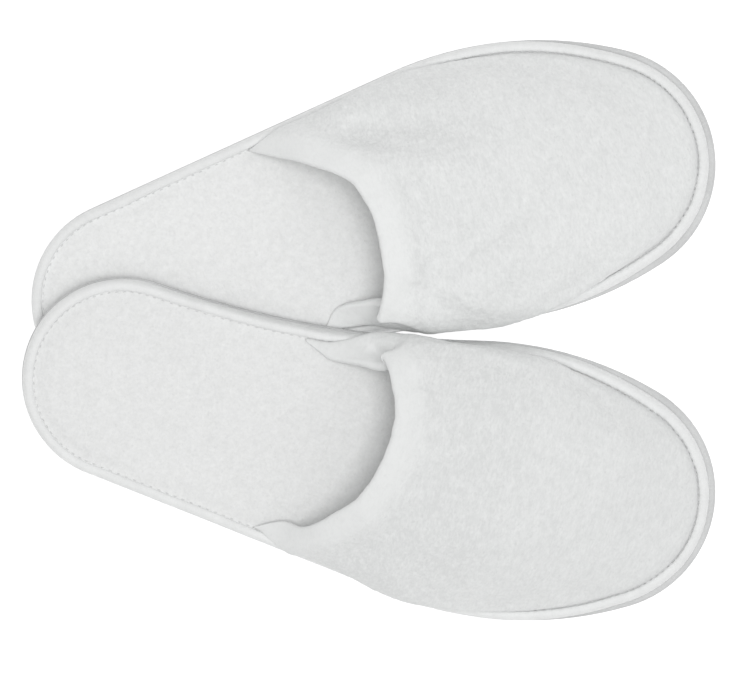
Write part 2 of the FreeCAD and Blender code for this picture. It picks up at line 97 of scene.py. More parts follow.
SLIPPERS = {
    "left": {
        "side": 1, "yaw": 17.84, "pitch": 0.0, "roll": 0.0,
        "wings": (113.0, 105.0),       # where the medial and the lateral wing run out
        # Edge of the throat: share of the seam that it hangs from, then x, y, z.
        # At the medial corner the front is folded over the wing.
        "throat": (
            (0.000, 112.6, -35.6, 12.2), (0.018, 117.6, -30.8, 13.6), (0.036, 122.6, -30.0, 16.0),
            (0.056, 129.5, -31.2, 19.5), (0.074, 135.6, -33.0, 23.5), (0.088, 139.4, -36.0, 27.0),
            (0.101, 138.0, -39.0, 30.5), (0.113, 135.4, -39.8, 33.5), (0.128, 136.8, -37.2, 36.5),
            (0.152, 139.8, -32.2, 39.6), (0.190, 142.6, -26.0, 42.2), (0.260, 144.4, -17.5, 44.2),
            (0.450, 146.4, -4.6, 45.2), (0.660, 145.4, 8.0, 45.0), (0.780, 141.4, 18.8, 43.5),
            (0.850, 135.4, 24.8, 41.0), (0.900, 130.2, 28.8, 37.5), (0.945, 122.4, 33.6, 31.5),
            (0.975, 114.2, 37.8, 22.5), (1.000, 105.0, 43.0, 12.2)),
        # Slope of the wall where it leaves the seam, in degrees, by share of the seam.
        "slope": ((0.0, 60.0), (0.06, 85.0), (0.12, 97.0), (0.20, 97.0), (0.28, 82.0), (0.38, 60.0),
                  (0.46, 50.0), (0.56, 50.0), (0.66, 58.0), (0.76, 68.0), (0.88, 76.0), (1.0, 55.0)),
        # How far the wall bulges outwards, by share of the seam.
        "bulge": ((0.0, 0.0), (0.02, 0.8), (0.045, 2.2), (0.065, 5.0), (0.085, 7.2), (0.12, 7.6),
                  (0.19, 6.0), (0.28, 2.5), (0.40, 0.5), (0.68, 0.5), (0.78, 3.2), (0.86, 6.2),
                  (0.93, 6.8), (0.96, 6.2), (0.98, 3.5), (1.0, 0.0)),
        # Valleys and ridges: plan points from and to, half width, depth (ridges are negative).
        "creases": (
            ((141.0, 42.5), (184.0, 28.0), 7.5, 4.2),
            ((146.0, 25.0), (186.0, 7.0), 7.5, -2.6),
            ((139.0, 38.0), (176.0, 18.5), 3.2, 0.8),
            ((157.0, -29.0), (202.0, -12.5), 6.0, 3.2),
            ((170.0, -38.0), (214.0, -22.0), 8.0, -2.0)),
        # How light the vamp and the insole look in each slipper: painted light, which colours one slipper
        # lighter than the other as if more light fell on it.
        "painted_light_tones": (1.02, 1.055),
        # Where the cloth behind the hem is painted darker, by share of the seam: painted shade of its
        # slope behind the hem's band.
        "painted_shade": ((0.0, 0.2), (0.45, 0.2), (0.65, 0.7), (0.8, 1.1), (1.0, 1.1)),
        "seed": 11,
    },
    "right": {
        "side": -1, "yaw": -15.3, "pitch": 2.72, "roll": 4.26,
        "wings": (107.3, 109.3),
        "throat": (
            (0.000, 107.6, -35.0, 12.2), (0.014, 113.2, -33.2, 13.2), (0.030, 118.2, -31.9, 14.8),
            (0.050, 124.2, -32.8, 17.2), (0.068, 130.4, -34.6, 20.6), (0.082, 136.0, -36.0, 24.5),
            (0.092, 139.4, -37.8, 28.0), (0.102, 138.6, -40.2, 31.5), (0.112, 138.0, -41.0, 34.0),
            (0.124, 139.8, -39.6, 36.5), (0.140, 142.8, -36.0, 39.3), (0.170, 146.4, -29.4, 42.4),
            (0.240, 149.6, -21.3, 44.6), (0.360, 151.0, -12.5, 45.4), (0.500, 150.9, -5.4, 45.6),
            (0.630, 149.8, 2.8, 45.4), (0.740, 147.2, 12.2, 44.4), (0.830, 142.4, 21.6, 42.0),
            (0.900, 136.2, 28.6, 37.5), (0.940, 129.8, 34.4, 31.5), (0.963, 123.8, 38.4, 23.5),
            (0.982, 116.6, 38.6, 16.4), (1.000, 107.2, 43.6, 12.2)),
        "slope": ((0.0, 60.0), (0.06, 85.0), (0.14, 96.0), (0.24, 92.0), (0.34, 64.0), (0.44, 50.0),
                  (0.56, 50.0), (0.66, 62.0), (0.76, 80.0), (0.85, 95.0), (0.94, 88.0), (1.0, 55.0)),
        "bulge": ((0.0, 0.0), (0.02, 0.6), (0.04, 3.6), (0.06, 7.4), (0.11, 8.0), (0.15, 6.4), (0.24, 4.0),
                  (0.34, 1.0), (0.60, 0.5), (0.74, 2.0), (0.84, 3.8), (0.90, 3.6), (0.945, 4.4),
                  (0.965, 6.0), (0.98, 4.0), (1.0, 0.0)),
        "creases": (
            ((138.0, -38.2), (131.5, -40.5), 2.8, 2.6),
            ((157.0, -34.0), (161.0, 8.0), 3.6, 0.7),
            ((166.0, -30.0), (171.0, 12.0), 4.2, 0.8),
            ((178.0, -34.0), (181.0, 4.0), 4.2, 0.6),
            ((152.0, 36.0), (200.0, 42.0), 10.0, 2.4)),
        "painted_light_tones": (0.98, 1.012),
        "painted_shade": ((0.0, 1.0), (0.3, 0.8), (0.6, 0.8), (0.85, 1.1), (1.0, 1.1)),
        "seed": 29,
    },
}


# ---------------------------------------------------------------- numbers

def smoothstep(value):
    value = np.clip(value, 0.0, 1.0)
    return value * value * (3 - 2 * value)


def inside(value, low, high, ease):
    """0 outside low and high, and smoothly up to 1 at ease further in."""
    return smoothstep((value - low) / ease) * smoothstep((high - value) / ease)


def smooth_through(knots, values, at):
    """Smooth curve through values at the knots, read at the given places."""
    knots, values = np.asarray(knots, float), np.asarray(values, float)
    if values.ndim == 1:
        return smooth_through(knots, values[:, None], at)[..., 0]
    gaps = np.diff(knots)[:, None]
    rises = np.diff(values, axis=0) / gaps
    inner = (gaps[1:] * rises[:-1] + gaps[:-1] * rises[1:]) / (gaps[1:] + gaps[:-1])
    slopes = np.vstack([rises[:1], inner, rises[-1:]])
    at = np.asarray(at, float)
    spot = np.clip(np.searchsorted(knots, at, side="right") - 1, 0, len(knots) - 2)
    gap = gaps[spot]
    part = ((at - knots[spot]) / gap[..., 0])[..., None]
    here, there = values[spot], values[spot + 1]
    bend_here, bend_there = slopes[spot] * gap, slopes[spot + 1] * gap
    return ((2 * part ** 3 - 3 * part ** 2 + 1) * here + (part ** 3 - 2 * part ** 2 + part) * bend_here
            + (3 * part ** 2 - 2 * part ** 3) * there + (part ** 3 - part ** 2) * bend_there)


def lattice(cell, seed):
    """Fixed random numbers from -1 to 1 for whole-number cells."""
    mixed = (cell[..., 0] * 73856093) ^ (cell[..., 1] * 19349663) ^ (cell[..., 2] * 83492791)
    mixed = (mixed ^ (seed * 2654435761)) & 0xFFFFFFFF
    mixed = ((mixed ^ (mixed >> 15)) * 2246822519) & 0xFFFFFFFF
    mixed = ((mixed ^ (mixed >> 13)) * 3266489917) & 0xFFFFFFFF
    return (mixed ^ (mixed >> 16)) / 2147483648.0 - 1.0


def noise(points, size, seed):
    """Smooth noise of about -1 to 1 whose features are size across."""
    scaled = np.asarray(points, float) / size
    cell = np.floor(scaled).astype(np.int64)
    part = smoothstep(scaled - cell)
    total = 0.0
    for corner in np.ndindex(2, 2, 2):
        offset = np.array(corner)
        weight = np.prod(np.where(offset == 1, part, 1 - part), axis=-1)
        total = total + weight * lattice(cell + offset, seed)
    return total


def waves(points, seed, *kinds):
    """Smooth noises added up. Each kind is a height and a size."""
    return sum(height * noise(points, size, seed + step) for step, (height, size) in enumerate(kinds))


def soften(values, rows, columns):
    """Average over a window of rows by columns (odd numbers), with the edges repeated."""
    for axis, width in ((0, rows), (1, columns)):
        half = width // 2
        margins = [(half + 1, half) if each == axis else (0, 0) for each in range(values.ndim)]
        total = np.cumsum(np.pad(values, margins, mode="edge"), axis=axis)
        values = (np.take(total, np.arange(width, total.shape[axis]), axis=axis)
                  - np.take(total, np.arange(0, total.shape[axis] - width), axis=axis)) / width
    return values


def unit(vectors):
    return vectors / np.maximum(np.linalg.norm(vectors, axis=-1, keepdims=True), 1e-9)


# ---------------------------------------------------------------- outline of the sole

class Outline:
    """The sole's outline by distance round it, from the heel's lateral side by way of the heel."""

    def __init__(self):
        heel = np.array([HEEL_RADIUS, 0.0])
        toe = np.array([SOLE_LENGTH - TOE_RADIUS, -TOE_OFFSET])

        def ball(radius, height):
            reach = (radius - TOE_RADIUS) ** 2 - (height - toe[1]) ** 2
            return np.array([toe[0] - math.sqrt(reach), height])

        medial = ball(MEDIAL_RADIUS, MEDIAL_RADIUS - MEDIAL_REACH)
        lateral = ball(LATERAL_RADIUS, LATERAL_REACH - LATERAL_RADIUS)
        from_heel, from_ball = WAIST_RADIUS + HEEL_RADIUS, WAIST_RADIUS + MEDIAL_RADIUS
        across = medial - heel
        span = np.linalg.norm(across)
        along = (from_heel ** 2 - from_ball ** 2 + span ** 2) / (2 * span)
        ahead = across / span
        aside = math.sqrt(from_heel ** 2 - along ** 2)
        waist = heel + ahead * along + np.array([ahead[1], -ahead[0]]) * aside
        across = lateral - heel
        span = np.linalg.norm(across)
        ahead = across / span
        slant = (HEEL_RADIUS - LATERAL_RADIUS) / span
        normal = ahead * slant + np.array([-ahead[1], ahead[0]]) * math.sqrt(1 - slant ** 2)

        def heading(start, end):
            return math.atan2(end[1] - start[1], end[0] - start[0])

        side_angle = math.atan2(normal[1], normal[0])
        to_waist = heading(heel, waist)
        waist_to_ball = heading(waist, medial)
        ball_to_toe = heading(medial, toe)
        toe_to_lateral = heading(lateral, toe)
        turns = (
            (heel, HEEL_RADIUS, side_angle, to_waist, 1),
            (waist, WAIST_RADIUS, to_waist + math.pi, waist_to_ball, -1),
            (medial, MEDIAL_RADIUS, waist_to_ball + math.pi, ball_to_toe, 1),
            (toe, TOE_RADIUS, ball_to_toe, toe_to_lateral, 1),
            (lateral, LATERAL_RADIUS, toe_to_lateral, side_angle, 1))
        self.pieces = []
        for centre, radius, first, last, turn in turns:
            sweep = (last - first) * turn % (2 * math.pi)
            self.pieces.append((centre, radius, first, turn, sweep * radius))
        self.side_start = lateral + normal * LATERAL_RADIUS
        side = heel + normal * HEEL_RADIUS - self.side_start
        self.side_normal = normal
        self.side_way = side / np.linalg.norm(side)
        self.ends = np.cumsum([piece[4] for piece in self.pieces] + [np.linalg.norm(side)])
        self.total = self.ends[-1]
        self.toe_tip = self.ends[2] + self.pieces[3][4] / 2

    def at(self, distance):
        """Points on the outline and its outward normals."""
        distance = np.asarray(distance, float) % self.total
        points, normals = np.zeros(distance.shape + (2,)), np.zeros(distance.shape + (2,))
        start = 0.0
        for (centre, radius, first, turn, length), end in zip(self.pieces, self.ends):
            here = (distance >= start) & (distance <= end)
            angle = first + turn * (distance[here] - start) / radius
            spoke = np.stack([np.cos(angle), np.sin(angle)], axis=-1)
            points[here], normals[here] = centre + spoke * radius, spoke * turn
            start = end
        here = distance > start
        points[here] = self.side_start + self.side_way * (distance[here] - start)[..., None]
        normals[here] = self.side_normal
        return points, normals

    def inset(self, distance, by):
        points, normals = self.at(distance)
        return points - normals * np.asarray(by)[..., None]

    def shift(self, distance):
        """How far the tape and its stitches sit in from their usual line: more round the toe."""
        off = np.abs(np.asarray(distance, float) % self.total - self.toe_tip)
        return TOE_SHIFT * smoothstep((110 - off) / 70)

    def where(self, x, low, high, by):
        """Distance between low and high at which the inset outline has the given x."""
        steps = np.linspace(low, high, 2000)
        return steps[np.argmin(np.abs(self.inset(steps, by)[:, 0] - x))]


OUTLINE = Outline()


# ---------------------------------------------------------------- placing and meshes

def stacked(line, heights):
    """A flat line's points at each of the heights in turn."""
    return np.vstack([np.column_stack([line, np.full(len(line), height)]) for height in heights])


class Place:
    """Turns a slipper's own millimetres into the shared frame's metres."""

    def __init__(self, name, side, yaw, pitch, roll):
        self.side = side
        forward = unit(np.array([1.0, 0.0, -math.tan(math.radians(pitch))]))
        upward = unit(np.array([math.tan(math.radians(pitch)), -math.tan(math.radians(roll)), 1.0]))
        tilt = np.stack([forward, np.cross(upward, forward), upward], axis=1)
        cosine, sine = math.cos(math.radians(yaw)), math.sin(math.radians(yaw))
        turn = np.array([[cosine, -sine, 0], [sine, cosine, 0], [0, 0, 1]])
        self.matrix = turn @ tilt
        self.shift = np.zeros(3)
        rim = OUTLINE.at(np.linspace(0, OUTLINE.total, 2000))[0]
        turned = self.to_frame(stacked(rim, (0, OUTSOLE_FULL_TO))) / MM
        low, high = (np.array(corner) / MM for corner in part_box(f"{name}_outsole"))
        self.shift = (low - turned.min(axis=0) + high - turned.max(axis=0)) / 2
        self.shift[2] = low[2] - turned[:, 2].min()

    def to_frame(self, points):
        points = np.asarray(points, float) * np.array([1.0, self.side, 1.0])
        return (points @ self.matrix.T + self.shift) * MM


def make_mesh(name, place, points, faces, material, lay_and_shade=None):
    """Mesh object from points in slipper millimetres. The last argument, if given, is one number per point
    for the velour's nodes: how far the pile is pressed flat there, and below 0 how much shade is painted
    on."""
    mesh = bpy.data.meshes.new(name)
    if place.side < 0:
        faces = [face[::-1] for face in faces]
    mesh.from_pydata(place.to_frame(points).tolist(), [], faces)
    if lay_and_shade is not None:
        attribute = mesh.attributes.new("pile_flat_and_painted_shade", "FLOAT", "POINT")
        attribute.data.foreach_set("value", np.asarray(lay_and_shade, np.float32))
    mesh.polygons.foreach_set("use_smooth", [True] * len(mesh.polygons))
    mesh.materials.append(material)
    mesh.update()
    piece = bpy.data.objects.new(name, mesh)
    bpy.context.scene.collection.objects.link(piece)
    return piece


def quads(rows, columns, start=0, wrap_rows=False, wrap_columns=False):
    """Faces of a grid of points, numbered row by row."""
    index = np.arange(rows * columns).reshape(rows, columns) + start
    if wrap_rows:
        index = np.vstack([index, index[:1]])
    if wrap_columns:
        index = np.hstack([index, index[:, :1]])
    corners = np.stack([index[:-1, :-1], index[1:, :-1], index[1:, 1:], index[:-1, 1:]], axis=-1)
    return corners.reshape(-1, 4).tolist()


def shell(outer, inner):
    """Closed solid between two grids with the same number of rows, (points, faces)."""
    rows, many = outer.shape[:2]
    few = inner.shape[1]
    points = np.vstack([outer.reshape(-1, 3), inner.reshape(-1, 3)])
    start = rows * many
    faces = quads(rows, many)
    faces += [face[::-1] for face in quads(rows, few, start)]
    outer_at = np.arange(rows * many).reshape(rows, many)
    inner_at = np.arange(rows * few).reshape(rows, few) + start
    for row in range(rows - 1):
        after = row + 1
        faces.append([outer_at[after, 0], outer_at[row, 0], inner_at[row, 0], inner_at[after, 0]])
        faces.append([outer_at[row, -1], outer_at[after, -1], inner_at[after, -1], inner_at[row, -1]])
    faces.append(list(outer_at[0]) + list(inner_at[0][::-1]))
    faces.append(list(outer_at[-1][::-1]) + list(inner_at[-1]))
    return points, [[int(i) for i in face] for face in faces]


def capsules(middles, ways, ups, length, radius, lift):
    """Short stitches that rise in the middle and dip at both ends, (points, faces)."""
    rings, sides = 7, 6
    along = np.linspace(-1, 1, rings)
    round_it = np.arange(sides) * 2 * math.pi / sides
    points, faces = [], []
    for middle, way, up in zip(middles, ways, ups):
        across = np.cross(way, up)
        start = len(points) * rings * sides
        spine = (middle + way * (along[:, None] * length / 2)
                 + up * (lift * (1 - along[:, None] ** 2)))
        fat = radius * np.sqrt(np.clip(1.02 - along ** 4, 0.04, 1))
        ring = (up[None, :] * np.cos(round_it)[:, None] + across[None, :] * np.sin(round_it)[:, None])
        points.append((spine[:, None, :] + ring[None] * fat[:, None, None]).reshape(-1, 3))
        faces += quads(rings, sides, start, wrap_columns=True)
        faces.append([start + k for k in range(sides)])
        last = start + (rings - 1) * sides
        faces.append([last + k for k in range(sides)][::-1])
    return np.vstack(points), faces


# ---------------------------------------------------------------- materials

# The dark colours are painted shade of the pile's own shadows: the velour's nodes give them to its lower
# clumps and open spots.
VAMP_LIGHT, VAMP_DARK = (0.80, 0.81, 0.806), (0.70, 0.71, 0.707)
# The lining's colours are lighter than the cover's: painted light, standing in for light that comes
# through the thin vamp into the toe space.
LINING_LIGHT, LINING_DARK = (0.88, 0.89, 0.886), (0.79, 0.80, 0.797)
INSOLE_LIGHT, INSOLE_DARK = (0.82, 0.826, 0.823), (0.735, 0.741, 0.738)


def shade(colour, tone):
    return tuple(tone * part for part in colour)


class Nodes:
    """A material's node tree, with short ways to add and link nodes."""

    def __init__(self, name):
        self.material = bpy.data.materials.new(name)
        self.material.use_nodes = True
        self.tree = self.material.node_tree
        self.shader = next(node for node in self.tree.nodes if node.type == "BSDF_PRINCIPLED")

    def add(self, kind, settings=None, **inputs):
        """New node. Inputs go by name, or by number as i0, i1, and take a value or another's output."""
        node = self.tree.nodes.new(f"ShaderNode{kind}")
        for key, value in (settings or {}).items():
            setattr(node, key, value)
        for key, value in inputs.items():
            numbered = key[0] == "i" and key[1:].isdigit()
            socket = node.inputs[int(key[1:]) if numbered else key.replace("_", " ")]
            if isinstance(value, bpy.types.NodeSocket):
                self.tree.links.new(value, socket)
            else:
                socket.default_value = value
        return node

    def place(self, scale, yaw=0):
        """The object's coordinates turned to run along the slipper, then times scale."""
        if not isinstance(scale, tuple):
            scale = (scale, scale, scale)
        source = self.add("TexCoord").outputs["Object"]
        mapping = self.add("Mapping", {"vector_type": "POINT"}, Vector=source)
        mapping.inputs["Rotation"].default_value = (0, 0, -math.radians(yaw))
        turned = self.add("VectorMath", {"operation": "MULTIPLY"}, i0=mapping.outputs[0], i1=scale)
        return turned.outputs[0]

    def noise(self, where, detail):
        return self.add("TexNoise", Vector=where, Scale=1.0, Detail=detail, Roughness=0.6).outputs[0]

    def cells(self, where, scale):
        node = self.add("TexVoronoi", {"feature": "F1"}, Vector=where, Scale=scale)
        return node.outputs["Distance"]

    def math(self, operation, first, second):
        return self.add("Math", {"operation": operation}, i0=first, i1=second).outputs[0]

    def ramp(self, value, low, high, dark, light):
        """Colour from dark to light as value goes from low to high."""
        node = self.add("ValToRGB", Fac=value)
        node.color_ramp.elements[0].position = low
        node.color_ramp.elements[0].color = (*dark, 1)
        node.color_ramp.elements[1].position = high
        node.color_ramp.elements[1].color = (*light, 1)
        return node.outputs[0]

    def fade(self, value, low, high):
        """0 to 1, smoothly, as value goes from low to high."""
        node = self.add("MapRange", {"interpolation_type": "SMOOTHSTEP"}, Value=value)
        node.inputs["From Min"].default_value = low
        node.inputs["From Max"].default_value = high
        return node.outputs[0]

    def set(self, name, value):
        socket = self.shader.inputs[name]
        if isinstance(value, bpy.types.NodeSocket):
            self.tree.links.new(value, socket)
        else:
            socket.default_value = value

    def bump(self, height, distance):
        return self.add("Bump", Height=height, Distance=distance, Strength=1.0).outputs[0]


def velour(name, yaw, light, dark, streak=(1.0, 0.45, 1.0)):
    """Terry velour: short cut pile that leans one way, in small clumps with the odd open spot."""
    nodes = Nodes(name)
    fine = nodes.noise(nodes.place(tuple(1050 * part for part in streak), yaw), detail=3)
    clumps = nodes.noise(nodes.place(tuple(420 * part for part in streak), yaw), detail=2)
    patches = nodes.noise(nodes.place(45, yaw), detail=3)
    spots = nodes.noise(nodes.place(620, yaw), detail=1)
    # The pile attribute is 1 along the hem, where the pile lies flat and is painted lighter. It is below 0
    # behind the hem, where it paints shade: a darker colour.
    flat = nodes.add("Attribute", {"attribute_name": "pile_flat_and_painted_shade"}).outputs["Fac"]
    rough = nodes.math("SUBTRACT", 1.0, nodes.math("MULTIPLY", flat, 0.5))
    mixed = nodes.math("ADD", nodes.math("MULTIPLY", fine, 0.5), nodes.math("MULTIPLY", clumps, 0.35))
    mixed = nodes.math("ADD", mixed, nodes.math("MULTIPLY", patches, 0.15))
    open_spot = nodes.fade(spots, 0.36, 0.26)
    pitted = nodes.math("SUBTRACT", mixed, nodes.math("MULTIPLY", open_spot, 0.10))
    centred = nodes.math("MULTIPLY", nodes.math("SUBTRACT", pitted, 0.5), rough)
    tone = nodes.math("ADD", nodes.math("ADD", centred, 0.5), nodes.math("MULTIPLY", flat, 0.12))
    # Colour darker where the pile is lower and at open spots: painted shade of the pile's own shadows,
    # with random patches of tone. Where the pile lies flat the colour is lighter and varies less: less of
    # that painted shade.
    nodes.set("Base Color", nodes.ramp(tone, 0.36, 0.64, dark, light))
    nodes.set("Roughness", nodes.math("ADD", nodes.math("MULTIPLY", fine, 0.2), 0.8))
    nodes.set("Sheen Weight", 0.25)
    nodes.set("Sheen Roughness", 0.6)
    height = nodes.math("MULTIPLY", pitted, rough)
    nodes.set("Normal", nodes.bump(height, 0.0004))
    return nodes.material


def tape(name, yaw):
    """Fine woven binding tape."""
    nodes = Nodes(name)
    threads = nodes.noise(nodes.place(1900, yaw), detail=2)
    soft = nodes.noise(nodes.place(160, yaw), detail=2)
    mixed = nodes.math("ADD", nodes.math("MULTIPLY", threads, 0.5), nodes.math("MULTIPLY", soft, 0.5))
    nodes.set("Base Color", nodes.ramp(mixed, 0.35, 0.65, (0.782, 0.789, 0.787), (0.842, 0.85, 0.847)))
    nodes.set("Roughness", 0.8)
    nodes.set("Sheen Weight", 0.15)
    nodes.set("Normal", nodes.bump(threads, 0.00018))
    return nodes.material


def sewing_thread(name):
    """Two-ply spun thread, coloured a little greyer than the cloth: painted shade of the needle holes and
    the groove it lies in.
    """
    nodes = Nodes(name)
    twist = nodes.noise(nodes.place(2600), detail=1)
    nodes.set("Base Color", nodes.ramp(twist, 0.3, 0.7, (0.62, 0.626, 0.625), (0.74, 0.746, 0.745)))
    nodes.set("Roughness", 0.7)
    nodes.set("Normal", nodes.bump(twist, 0.00015))
    return nodes.material


def eva(name, yaw):
    """Embossed closed-cell foam sheet, with a fine pebbled skin."""
    nodes = Nodes(name)
    where = nodes.place(1000, yaw)
    cells = nodes.cells(where, 1.1)
    cloud = nodes.noise(nodes.place(60, yaw), detail=4)
    # Its grey is partly the foam's own colour and partly painted shade of the shadowed strip under the
    # tape's edge.
    nodes.set("Base Color", nodes.ramp(cloud, 0.3, 0.7, (0.56, 0.565, 0.565), (0.64, 0.646, 0.646)))
    nodes.set("Roughness", 0.55)
    nodes.set("Normal", nodes.bump(cells, 0.0002))
    return nodes.material


def foam(name, colour):
    """Open-cell sponge, seen only where the slipper is cut or opened."""
    nodes = Nodes(name)
    pores = nodes.cells(nodes.place(1300), 1.0)
    # The pores are coloured darker: painted shade inside them.
    nodes.set("Base Color", nodes.ramp(pores, 0.1, 0.6, shade(colour, 0.75), colour))
    nodes.set("Roughness", 0.95)
    nodes.set("Normal", nodes.bump(pores, 0.0003))
    return nodes.material


def fibre_board(name):
    """Pressed fibre board. Its fibres run roughly lengthwise."""
    nodes = Nodes(name)
    fibres = nodes.noise(nodes.place((300, 1200, 300)), detail=4)
    nodes.set("Base Color", nodes.ramp(fibres, 0.3, 0.7, (0.48, 0.43, 0.35), (0.62, 0.57, 0.48)))
    nodes.set("Roughness", 0.9)
    nodes.set("Normal", nodes.bump(fibres, 0.0001))
    return nodes.material


# ---------------------------------------------------------------- the vamp

class Vamp:
    """The closed toe. Rows run from the medial wing round the toe to the lateral wing; along a row the
    cloth climbs from the seam to the edge of the throat."""
    ROWS, STEPS = 540, 320

    def __init__(self, facts):
        medial_x, lateral_x = facts["wings"]
        start = OUTLINE.where(medial_x, OUTLINE.ends[0], OUTLINE.toe_tip, SEAM_INSET)
        end = OUTLINE.where(lateral_x, OUTLINE.toe_tip, OUTLINE.total, SEAM_INSET)
        self.share = np.linspace(0, 1, self.ROWS)
        distance = start + (end - start) * self.share
        self.span = (start, end)
        edge, outward = OUTLINE.at(distance)
        inset = SEAM_INSET + OUTLINE.shift(distance)
        foot = np.column_stack([edge - outward * inset[:, None], np.full(self.ROWS, SEAM_HEIGHT)])
        foot[:, 2] += 0.35 * noise(foot, 19, facts["seed"] + 3)
        table = np.array(facts["throat"])
        top = smooth_through(table[:, 0], table[:, 1:], self.share)
        slope = np.radians(smooth_through(*np.array(facts["slope"]).T, self.share))
        rise = top[:, 2] - foot[:, 2]
        flat_reach = (top - foot) * np.array([1.0, 1.0, 0.0])
        upright = np.column_stack([-outward * np.cos(slope)[:, None], np.sin(slope)])
        leave = SEAM_PULL * rise[:, None] * upright
        arrive = THROAT_PULL * flat_reach
        arrive[:, 2] = 0.05 * np.linalg.norm(arrive, axis=1)
        part = np.linspace(0, 1, self.STEPS)[None, :, None]
        grid = ((1 - part) ** 3 * foot[:, None] + 3 * (1 - part) ** 2 * part * (foot + leave)[:, None]
                + 3 * (1 - part) * part ** 2 * (top - arrive)[:, None] + part ** 3 * top[:, None])
        bulge = smooth_through(*np.array(facts["bulge"]).T, self.share)
        low_down = 6.75 * part[..., 0] * (1 - part[..., 0]) ** 2    # 1 at a third of the way up
        grid[..., :2] += outward[:, None, :] * (bulge[:, None] * low_down)[..., None]
        near = np.minimum(self.share, 1 - self.share)
        self.taper = (TIP_LEFT + NEAR_TIP * smoothstep(near / NEAR_TIP_SPAN)
                      + PAST_TIP * smoothstep(near / PAST_TIP_SPAN))
        grid = self.settle(grid)
        grid = self.fold(grid, facts)
        self.read(grid)

    def settle(self, grid):
        """Let the cloth find its own rest: sewn down at the seam, held loosely at the throat."""
        coarse = grid[::self.ROWS // SETTLE_ROWS, ::self.STEPS // SETTLE_STEPS]
        rows, steps = coarse.shape[:2]
        mesh = bpy.data.meshes.new("settling")
        mesh.from_pydata((coarse.reshape(-1, 3) * MM).tolist(), [], quads(rows, steps))
        piece = bpy.data.objects.new("settling", mesh)
        bpy.context.scene.collection.objects.link(piece)
        held = np.zeros((rows, steps))
        held[:, -1] = 0.85
        held[:, -2] = 0.4
        held[:, 0] = held[:3] = held[-3:] = 1.0
        group = piece.vertex_groups.new(name="held")
        for number, weight in enumerate(held.ravel()):
            group.add([number], float(weight), "REPLACE")
        cloth = piece.modifiers.new("cloth", "CLOTH")
        for key, value in CLOTH_SETTINGS.items():
            setattr(cloth.settings, key, value)
        cloth.settings.vertex_group_mass = "held"
        cloth.settings.effector_weights.gravity = 0.3
        cloth.collision_settings.use_collision = False
        for number in range(1, SETTLE_FRAMES + 1):
            bpy.context.scene.frame_set(number)
        shape = piece.evaluated_get(bpy.context.evaluated_depsgraph_get()).data
        settled = np.empty(rows * steps * 3)
        shape.vertices.foreach_get("co", settled)
        moved = settled.reshape(rows, steps, 3) / MM - coarse
        bpy.data.objects.remove(piece)
        bpy.data.meshes.remove(mesh)
        bpy.context.scene.frame_set(1)
        size = np.linalg.norm(moved, axis=-1, keepdims=True)
        moved *= np.minimum(1, MOST_MOVE / np.maximum(size, 1e-6))
        moved = soften(soften(moved, 3, 3), 3, 3)
        moved *= inside(np.linspace(0, 1, rows)[:, None, None], 0.11, 0.93, 0.08)
        moved *= smoothstep(np.linspace(0, 1, steps) / 0.22)[None, :, None]
        row_at, step_at = np.linspace(0, rows - 1, self.ROWS), np.linspace(0, steps - 1, self.STEPS)
        tall = smooth_through(np.arange(rows), moved.reshape(rows, -1), row_at)
        tall = tall.reshape(self.ROWS, steps, 3).transpose(1, 0, 2).reshape(steps, -1)
        fine = smooth_through(np.arange(steps), tall, step_at)
        return grid + fine.reshape(self.STEPS, self.ROWS, 3).transpose(1, 0, 2)

    def fold(self, grid, facts):
        """Creases, soft unevenness and the valley behind the hem, along the surface's own normal."""
        normals = self.normals(grid)
        plan = grid[..., :2]
        depth = np.zeros(grid.shape[:2])
        for start, end, width, deep in facts["creases"]:
            start, end = np.array(start), np.array(end)
            way = end - start
            part = np.clip(((plan - start) @ way) / (way @ way), 0, 1)
            off = np.linalg.norm(plan - (start + part[..., None] * way), axis=-1)
            fade = 1 - 0.6 * np.abs(2 * part - 1) ** 2
            depth += deep * fade * np.exp(-(off / width) ** 2)
        depth += waves(grid, facts["seed"], (0.9, 42), (0.35, 17))
        climbed = self.climb(grid)
        hemmed = inside(self.share, 0.13, 0.99, 0.08)
        dip = np.exp(-((climbed[:, -1:] - climbed - HEM_AT) / HEM_WIDTH) ** 2)
        depth += HEM_DIP * hemmed[:, None] * dip
        held = smoothstep(climbed / 12.0) * smoothstep((self.taper - 0.3) / 0.7)[:, None]
        return grid - normals * (depth * held)[..., None]

    @staticmethod
    def climb(grid):
        """Distance from the seam to each point, along its row."""
        return np.cumsum(np.linalg.norm(np.diff(grid, axis=1, prepend=grid[:, :1]), axis=-1), axis=1)

    @staticmethod
    def normals(grid):
        along = np.gradient(grid, axis=0)
        upward = np.gradient(grid, axis=1)
        return unit(np.cross(along, upward))

    def read(self, grid):
        self.grid = grid
        self.normal = unit(soften(self.normals(grid), 11, 21))
        self.climbed = self.climb(grid)
        self.length = self.climbed[:, -1]

    def at(self, climbed):
        """Points and normals at distances climbed (rows by columns)."""
        points = np.empty(climbed.shape + (3,))
        normals = np.empty(climbed.shape + (3,))
        for row in range(self.ROWS):
            known = self.climbed[row]
            for axis in range(3):
                points[row, :, axis] = np.interp(climbed[row], known, self.grid[row, :, axis])
                normals[row, :, axis] = np.interp(climbed[row], known, self.normal[row, :, axis])
        return points, unit(normals)

    def depth_in(self, left):
        """Depth of the lining's inner face, by distance left to the throat's edge."""
        full = COVER + SPONGE + LINING
        return EDGE_THICKNESS + (full - EDGE_THICKNESS) * smoothstep((left - BAND + 1) / 4)

